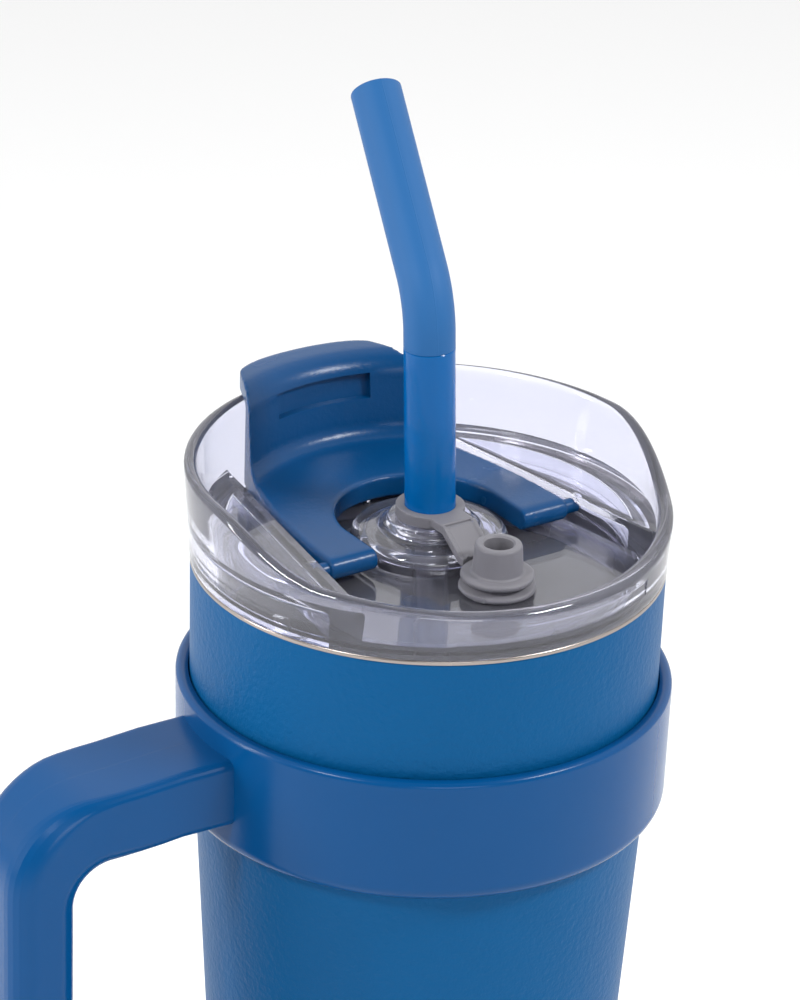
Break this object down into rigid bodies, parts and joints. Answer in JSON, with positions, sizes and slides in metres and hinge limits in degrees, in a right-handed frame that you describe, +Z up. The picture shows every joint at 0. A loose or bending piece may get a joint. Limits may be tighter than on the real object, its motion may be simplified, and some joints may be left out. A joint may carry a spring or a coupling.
{
  "type": "insulated tumbler",
  "caption": "Tapered vacuum-insulated steel tumbler with a clamp-on plastic handle, a clear push-in lid with a flip cover, a bent drinking straw and a tethered stopper.",
  "frame": {"origin": "centre of the base ring's underside, on the cup's axis", "axes": "+Z up along the cup's axis, the handle points towards -X, the sip side of the lid is near +Y"},
  "size_m": [0.1533, 0.1072, 0.3448],
  "materials": {
    "powder_blue": "satin powder coat",
    "handle_blue": "smooth satin",
    "cover_blue": "fine matte",
    "tube_blue": "gloss",
    "mouth_blue": "matte silicone",
    "grey_silicone": "matte silicone",
    "clear_plastic": "polished, clear",
    "steel": "brushed",
    "base_rubber": "matte",
    "getter_grey": "sintered"
  },
  "bodies": {
    "cup": {"outer_shell": "powder_blue", "inner_liner": "steel", "shell_floor": "steel", "getter": "getter_grey", "vacuum_seal": "steel", "base_ring": "base_rubber", "handle": "handle_blue", "handle_bracket": "steel", "bracket_screw": "steel", "screw_cap": "handle_blue"},
    "lid": {"lid_shell": "clear_plastic", "lid_gasket": "grey_silicone", "straw_grommet": "grey_silicone"},
    "cover": {"flip_cover": "cover_blue", "sip_seal": "grey_silicone"},
    "straw": {"straw_tube": "tube_blue", "straw_lower": "clear_plastic"},
    "mouthpiece": {"straw_mouthpiece": "mouth_blue"},
    "stopper": {"tether_strap": "grey_silicone", "stopper": "grey_silicone"}
  },
  "joints": [
    {"name": "lid_lift", "type": "slide", "parent": "cup", "child": "lid", "axis": [0, 0, 1], "range_m": [0, 0.245]},
    {"name": "cover_flip", "type": "hinge", "parent": "lid", "child": "cover", "pos_m": [0.00054, -0.00618, 0.25675], "axis": [0.9962, 0.0872, 0], "range_deg": [0, 45]},
    {"name": "straw_pull", "type": "slide", "parent": "lid", "child": "straw", "axis": [-0.0332, 0.0192, 0.9993], "range_m": [0, 0.242]},
    {"name": "straw_turn", "type": "hinge", "parent": "straw", "child": "mouthpiece", "pos_m": [0, 0, 0.261], "axis": [-0.0332, 0.0192, 0.9993], "continuous": true},
    {"name": "plug_swing", "type": "hinge", "parent": "lid", "child": "stopper", "pos_m": [0.00087, -0.00996, 0.2617], "axis": [-0.9962, -0.0872, 0], "range_deg": [0, 80]}
  ]
}
